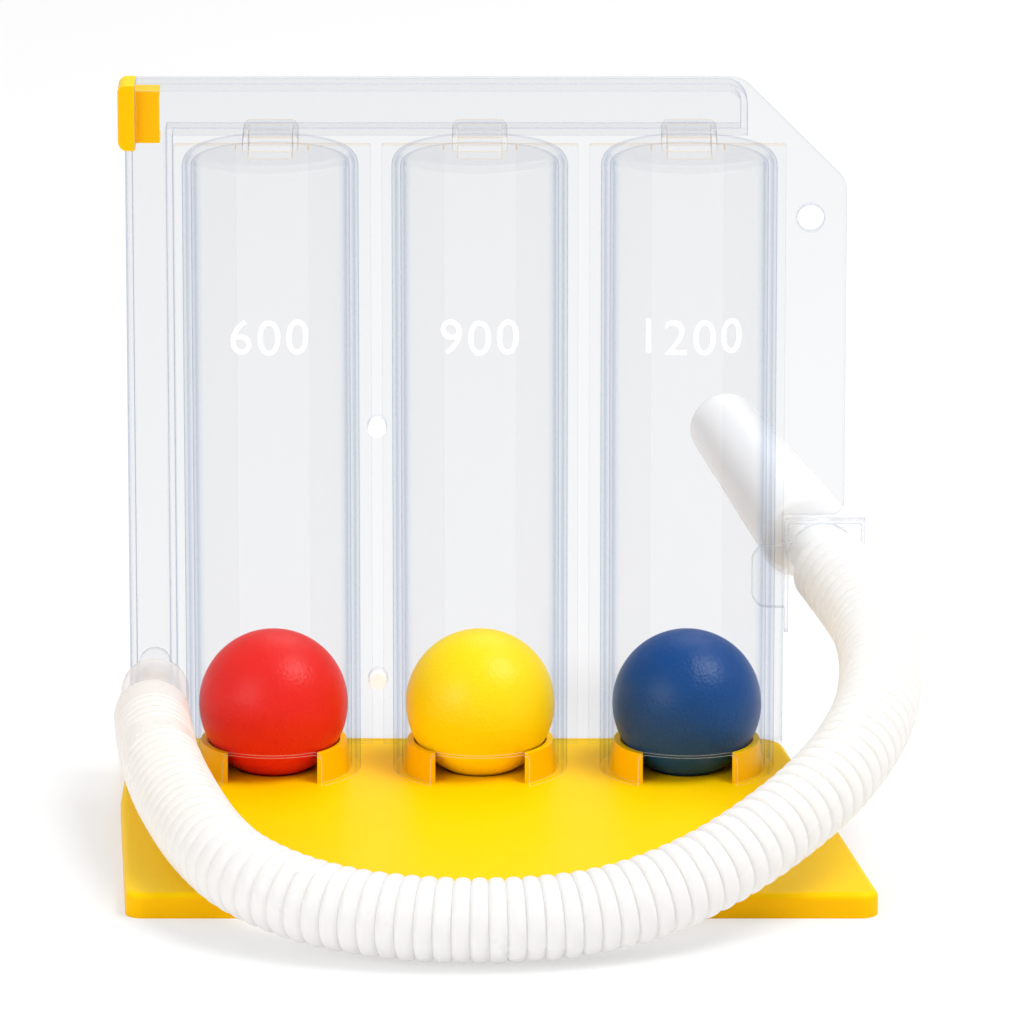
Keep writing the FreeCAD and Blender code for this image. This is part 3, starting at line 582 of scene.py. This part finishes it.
# Meshes
def placePiece(name, mesh, material, body, sharp=35.0):
    for face in mesh.polygons:
        face.use_smooth = True
    mesh.set_sharp_from_angle(angle=math.radians(sharp))
    mesh.materials.clear()
    mesh.materials.append(material)
    piece = bpy.data.objects.new(name, mesh)
    scene.collection.objects.link(piece)
    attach(piece, body)
    return piece


def closeMesh(name, bm):
    bmesh.ops.remove_doubles(bm, verts=bm.verts, dist=mergeDistance)
    bmesh.ops.recalc_face_normals(bm, faces=bm.faces)
    mesh = bpy.data.meshes.new(name)
    bm.to_mesh(mesh)
    bm.free()
    return mesh


# The hose's route in metres: the solid tube's points, a few of them moved by up to 3 mm
hoseRoute = [
    (-0.0600, -0.0090, 0.0166),
    (-0.0591, -0.0240, 0.0166),
    (-0.0564, -0.0430, 0.0153),
    (-0.0525, -0.0610, 0.0142),
    (-0.0481, -0.0770, 0.0131),
    (-0.0415, -0.0905, 0.0113),
    (-0.0285, -0.1003, 0.0089),
    (-0.0125, -0.1052, 0.0078),
    (0.0060, -0.1060, 0.00765),
    (0.0230, -0.1028, 0.0086),
    (0.0385, -0.0959, 0.0124),
    (0.0520, -0.0855, 0.0180),
    (0.0635, -0.0715, 0.0239),
    (0.0704, -0.0540, 0.0289),
    (0.0724, -0.0365, 0.0320),
    (0.0723, -0.0215, 0.0338),
    (0.07115, -0.00852, 0.03498),
    (0.0673, 0.00252, 0.03768),
]
hose = {
    "length": 0.2852,
    "radius": 0.0075,
    "valley": 0.0066,  # radius between two rings
    "smooth": 0.0070,  # radius of the stretches without rings
    "startRadius": 0.0070,  # rings beside the spigot are a little tighter
    "fullFrom": 14,  # ring that has the full radius
    "pitch": 0.00304,  # from ring to ring
    "startRings": 3,  # rings that the smooth start takes up
    "firstRings": 4,  # rings between the start and the smooth band
    "bandRings": 2,  # rings that the smooth band takes up
    "crestPower": 2.2,  # how blunt a ring is
    "stepsPerRing": 12,
    "segments": 56,
    "curveSteps": 48,
    "sharp": 80.0,  # degrees between faces that stay smooth
}


# The route's own smooth line, read from a curve with no bevel
def readRoute(points):
    curve = bpy.data.curves.new("hoseRoute", "CURVE")
    curve.dimensions = "3D"
    curve.resolution_u = hose["curveSteps"]
    spline = curve.splines.new("NURBS")
    spline.points.add(len(points) - 1)
    for place, point in zip(spline.points, points):
        place.co = (*point, 1)
    spline.order_u = 3
    spline.use_endpoint_u = True
    carrier = bpy.data.objects.new("hoseRoute", curve)
    scene.collection.objects.link(carrier)
    mesh = bpy.data.meshes.new_from_object(carrier)
    line = [vertex.co.copy() for vertex in mesh.vertices]
    bpy.data.objects.remove(carrier)
    bpy.data.curves.remove(curve)
    bpy.data.meshes.remove(mesh)
    return line


def evenlyAlong(line, count):
    marks = [0.0]
    for before, after in zip(line, line[1:]):
        marks.append(marks[-1] + (after - before).length)
    spots = []
    index = 0
    for step in range(count + 1):
        goal = marks[-1] * step / count
        while index < len(line) - 2 and marks[index + 1] < goal:
            index += 1
        span = marks[index + 1] - marks[index]
        spots.append(line[index].lerp(line[index + 1], (goal - marks[index]) / span))
    return spots, marks[-1]


# A frame for each spot that turns as little as it can from one to the next
def framesAlong(spots, away):
    frames = []
    for index, spot in enumerate(spots):
        ahead = spots[min(index + 1, len(spots) - 1)] - spots[max(index - 1, 0)]
        ahead.normalize()
        away = (away - ahead * away.dot(ahead)).normalized()
        across = ahead.cross(away)
        turn = Matrix((away, across, ahead)).transposed()
        frames.append(Matrix.Translation(spot) @ turn.to_4x4())
    return frames


# A circle is drawn out from frame to frame, with a radius of its own at each
def sweepTube(bm, frames, radii, segments):
    made = bmesh.ops.create_circle(bm, segments=segments, radius=radii[0], matrix=frames[0])
    edges = list({edge for vertex in made["verts"] for edge in vertex.link_edges})
    for index in range(1, len(frames)):
        out = bmesh.ops.extrude_edge_only(bm, edges=edges)
        verts = [item for item in out["geom"] if isinstance(item, bmesh.types.BMVert)]
        edges = [item for item in out["geom"] if isinstance(item, bmesh.types.BMEdge)]
        size = Matrix.Scale(radii[index] / radii[index - 1], 4)
        move = frames[index] @ size @ frames[index - 1].inverted()
        bmesh.ops.transform(bm, matrix=move, verts=verts)
    return edges


# Round rings with narrow valleys; the hose starts smooth and has one smooth band
def ringCrest(phase):
    return math.sqrt(max(0.0, 1 - abs(2 * phase - 1) ** hose["crestPower"]))


def ringRadius(step, rings):
    turn = step / hose["stepsPerRing"]
    ring = int(turn)
    phase = turn - ring
    band = hose["startRings"] + hose["firstRings"]
    plain = ring < hose["startRings"] or band <= ring < band + hose["bandRings"]
    if ring >= rings:
        return hose["valley"]
    if plain:
        return hose["smooth"]
    grown = min(1.0, ring / hose["fullFrom"])
    outer = hose["startRadius"] + (hose["radius"] - hose["startRadius"]) * grown
    return hose["valley"] + (outer - hose["valley"]) * ringCrest(phase)


def buildHose():
    line = readRoute(hoseRoute)
    length = evenlyAlong(line, 1)[1]
    rings = round(length / hose["pitch"])
    count = rings * hose["stepsPerRing"]
    spots, length = evenlyAlong(line, count)
    frames = framesAlong(spots, zAxis)
    radii = [ringRadius(step, rings) for step in range(count + 1)]
    bm = bmesh.new()
    sweepTube(bm, frames, radii, hose["segments"])
    mesh = closeMesh("corrugated_hose", bm)
    piece = placePiece("corrugated_hose", mesh, hosePlastic, "spirometer", hose["sharp"])
    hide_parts("hose")
    print("hose:", rings, "rings, length", round(length, 4))
    return piece, spots


corrugatedHose, hoseSpots = buildHose()

# Ends of the hose: a smooth sleeve below, ringed like the hose above
cuffs = {
    "lip": 0.0003,
    "lipAt": 0.06,  # share of the sleeve's length
    "lowerStart": 0.0061,  # radius over the spigot
    "lowerEnd": 0.0069,
    "flare": 1.5,
    "steps": 24,
    "upperRings": 3,
}


def straightFrames(start, end, count):
    spots = [start.lerp(end, step / count) for step in range(count + 1)]
    return framesAlong(spots, zAxis)


def buildLowerSleeve():
    low, high = (Vector(corner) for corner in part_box("lower_cuff"))
    middle = (low + high) / 2
    start = Vector((middle.x, high.y, middle.z))
    end = Vector((middle.x, low.y, middle.z))
    count = cuffs["steps"]
    swell = cuffs["lowerEnd"] - cuffs["lowerStart"]
    radii = []
    for step in range(count + 1):
        share = step / count
        lip = cuffs["lip"] * max(0.0, 1 - abs(share - cuffs["lipAt"]) / cuffs["lipAt"])
        radii.append(cuffs["lowerStart"] + swell * share ** cuffs["flare"] + lip)
    bm = bmesh.new()
    sweepTube(bm, straightFrames(start, end, count), radii, hose["segments"])
    mesh = closeMesh("lower_sleeve", bm)
    piece = placePiece("lower_sleeve", mesh, sleevePlastic, "spirometer")
    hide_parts("lower_cuff")
    return piece


def buildUpperSleeve():
    end = Vector(hoseRoute[-1])
    pull = next(joint for joint in frame["joints"] if joint["name"] == "mouthpiece_pull")
    axis = Vector(pull["axis"]).normalized()
    count = cuffs["upperRings"] * hose["stepsPerRing"]
    reach = cuffs["upperRings"] * hose["pitch"]
    frames = straightFrames(end, end + axis * reach, count)
    radii = []
    for step in range(count + 1):
        phase = step / hose["stepsPerRing"] % 1
        radii.append(hose["valley"] + (hose["radius"] - hose["valley"]) * ringCrest(phase))
    bm = bmesh.new()
    edges = sweepTube(bm, frames, radii, hose["segments"])
    bmesh.ops.edgeloop_fill(bm, edges=edges)
    mesh = closeMesh("upper_sleeve", bm)
    piece = placePiece("upper_sleeve", mesh, hosePlastic, "spirometer", hose["sharp"])
    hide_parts("upper_cuff")
    return piece


sleeves = [buildLowerSleeve(), buildUpperSleeve()]

print("hose is made")

# Balls: a faint seam runs round each where its halves meet
balls = {
    "radius": 0.0137,
    "meridians": 96,
    "parallels": 64,
    "seamRise": 0.00004,
    "seamTurns": {"red_ball": (70, 20), "yellow_ball": (80, -35), "blue_ball": (2, 6)},
}


def buildBall(node):
    low, high = (Vector(corner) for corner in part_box(node))
    centre = (low + high) / 2
    tilt, turn = (math.radians(angle) for angle in balls["seamTurns"][node])
    bm = bmesh.new()
    bmesh.ops.create_uvsphere(
        bm, u_segments=balls["meridians"], v_segments=balls["parallels"], radius=balls["radius"]
    )
    seam = [vertex for vertex in bm.verts if abs(vertex.co.z) < mergeDistance]
    proud = 1 + balls["seamRise"] / balls["radius"]
    bmesh.ops.scale(bm, vec=(proud, proud, proud), verts=seam)
    lean = Matrix.Rotation(math.radians(90) - tilt, 4, "Y")
    place = Matrix.Translation(centre) @ Matrix.Rotation(turn, 4, "Z") @ lean
    bmesh.ops.transform(bm, matrix=place, verts=bm.verts)
    colour, shade = ballColours[node]
    plastic = makeMouldedPlastic(node + "Plastic", dict(ballLook, colour=colour, shade=shade))
    mesh = closeMesh(node + "_shell", bm)
    piece = placePiece(node + "_shell", mesh, plastic, node)
    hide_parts(node)


for node in ballColours:
    buildBall(node)
print("balls are made")

# Nodes that keep their own solid take their finish here
finishes = {
    "base": yellowPlastic,
    "corner_cap": yellowPlastic,
    "mouthpiece": whitePlastic,
    "left_column": clearPlastic,
    "middle_column": clearPlastic,
    "right_column": clearPlastic,
    "air_channel": clearDuct,
    "back_plate": clearPlate,
    "locating_pins": frostedPlastic,
    "hose_connector": clearSolid,
    "mouthpiece_holder": clearSolid,
}
for node, material in finishes.items():
    mesh = frame["nodes"][node].data
    mesh.materials.clear()
    mesh.materials.append(material)
print("frame nodes are dressed")

# Raised numerals on the fronts of the columns
numerals = {
    "marks": {"left_column": "600", "middle_column": "900", "right_column": "1200"},
    "height": 0.0064,
    "level": 0.0865,
    "rise": 0.00035,
    "sunk": 0.00005,
    "spread": 1.12,  # from figure to figure
    "slice": 0.0008,  # width of the strips that bend round the column
    "sliceMerge": 1e-7,
    # the rest is in shares of the letter size
    "thinner": -0.014,
    "depth": 0.03,
    "rounding": 0.012,
    "roundingSteps": 2,
}


def buildNumeral(node, mark):
    low, high = (Vector(corner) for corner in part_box(node))
    across = (low.x + high.x) / 2
    radius = -low.y
    curve = bpy.data.curves.new("mark", "FONT")
    curve.body = mark
    curve.align_x = "CENTER"
    curve.space_character = numerals["spread"]
    curve.size = 1.0
    curve.extrude = numerals["depth"]
    curve.bevel_depth = numerals["rounding"]
    curve.bevel_resolution = numerals["roundingSteps"]
    curve.offset = numerals["thinner"]
    carrier = bpy.data.objects.new("mark", curve)
    scene.collection.objects.link(carrier)
    mesh = bpy.data.meshes.new_from_object(carrier)
    bpy.data.objects.remove(carrier)
    bm = bmesh.new()
    bm.from_mesh(mesh)
    bpy.data.meshes.remove(mesh)
    bottom = min(vertex.co.y for vertex in bm.verts)
    top = max(vertex.co.y for vertex in bm.verts)
    deep = max(vertex.co.z for vertex in bm.verts)
    size = numerals["height"] / (top - bottom)
    half = (numerals["rise"] + numerals["sunk"]) / 2
    stretch = Vector((size, size, half / deep))
    bmesh.ops.translate(bm, vec=(0, -bottom, 0), verts=bm.verts)
    bmesh.ops.scale(bm, vec=stretch, verts=bm.verts)
    bmesh.ops.remove_doubles(bm, verts=bm.verts, dist=mergeDistance)
    left = min(vertex.co.x for vertex in bm.verts)
    right = max(vertex.co.x for vertex in bm.verts)
    cuts = int((right - left) / numerals["slice"])
    for cut in range(1, cuts):
        place = (left + cut * numerals["slice"], 0, 0)
        geometry = bm.verts[:] + bm.edges[:] + bm.faces[:]
        bmesh.ops.bisect_plane(
            bm, geom=geometry, dist=numerals["sliceMerge"], plane_co=place, plane_no=(1, 0, 0)
        )
    middle = radius - numerals["sunk"] + half
    for vertex in bm.verts:
        around = vertex.co.x / radius
        out = middle + vertex.co.z
        vertex.co = (across + out * math.sin(around), -out * math.cos(around), numerals["level"] + vertex.co.y)
    mesh = closeMesh(node + "_numeral", bm)
    placePiece(node + "_numeral", mesh, frostedPlastic, "spirometer")


for node, mark in numerals["marks"].items():
    buildNumeral(node, mark)
print("numerals are made")

# Studio: white floor, soft lamps, pale world
studio = {
    "floorSize": 3.0,
    "floorColour": (0.84, 0.84, 0.84),
    "floorRoughness": 0.9,
    "whiteShare": 0.5,  # of the floor's own white where it is looked at
    "worldLevel": 0.58,
    "bounces": 32,
    "transparentBounces": 64,
    "lamps": [  # name, place, size, power
        ("keyLamp", (0.75, -0.25, 1.35), 0.8, 16.0),
        ("fillLamp", (-1.0, -1.1, 0.7), 1.0, 8.0),
        ("backLamp", (0.2, 0.9, 1.2), 0.9, 4.0),
    ],
}


def makeFloor():
    material, tree, shader = newMaterial("floorPaper")[:3]
    shader.inputs["Base Color"].default_value = (*studio["floorColour"], 1)
    shader.inputs["Roughness"].default_value = studio["floorRoughness"]
    shader.inputs["Specular IOR Level"].default_value = 0.0
    white = newNode(tree, "ShaderNodeEmission")
    seen = rayShare(tree, ["Is Camera Ray", "Is Glossy Ray", "Is Transmission Ray"])
    share = mathNode(tree, "MULTIPLY", seen, studio["whiteShare"])
    mix = mixShaders(tree, share, shader.outputs[0], white.outputs[0])
    tree.links.new(mix, tree.nodes["Material Output"].inputs["Surface"])
    bm = bmesh.new()
    bmesh.ops.create_grid(bm, x_segments=2, y_segments=2, size=studio["floorSize"])
    mesh = bpy.data.meshes.new("floor")
    bm.to_mesh(mesh)
    bm.free()
    mesh.materials.append(material)
    floor = bpy.data.objects.new("floor", mesh)
    scene.collection.objects.link(floor)


def makeWorld():
    world = bpy.data.worlds.new("studio")
    world.use_nodes = True
    tree = world.node_tree
    plain = tree.nodes["Background"]
    plain.inputs["Color"].default_value = plainWhite
    plain.inputs["Strength"].default_value = studio["worldLevel"]
    white = newNode(tree, "ShaderNodeBackground")
    white.inputs["Strength"].default_value = 1.0
    seen = rayShare(tree, ["Is Camera Ray", "Is Transmission Ray"])
    mix = mixShaders(tree, seen, plain.outputs[0], white.outputs[0])
    tree.links.new(mix, tree.nodes["World Output"].inputs["Surface"])
    scene.world = world


def addLamp(name, place, size, power):
    data = bpy.data.lights.new(name, "AREA")
    data.shape = "DISK"
    data.size = size
    data.energy = power
    lamp = bpy.data.objects.new(name, data)
    lamp.location = place
    aim = Vector(camera["target"]) - Vector(place)
    lamp.rotation_euler = aim.to_track_quat("-Z", "Y").to_euler()
    scene.collection.objects.link(lamp)


makeFloor()
makeWorld()
for lamp in studio["lamps"]:
    addLamp(*lamp)
scene.view_settings.view_transform = "Standard"
scene.cycles.max_bounces = studio["bounces"]
scene.cycles.transmission_bounces = studio["bounces"]
scene.cycles.transparent_max_bounces = studio["transparentBounces"]
print("studio is set")
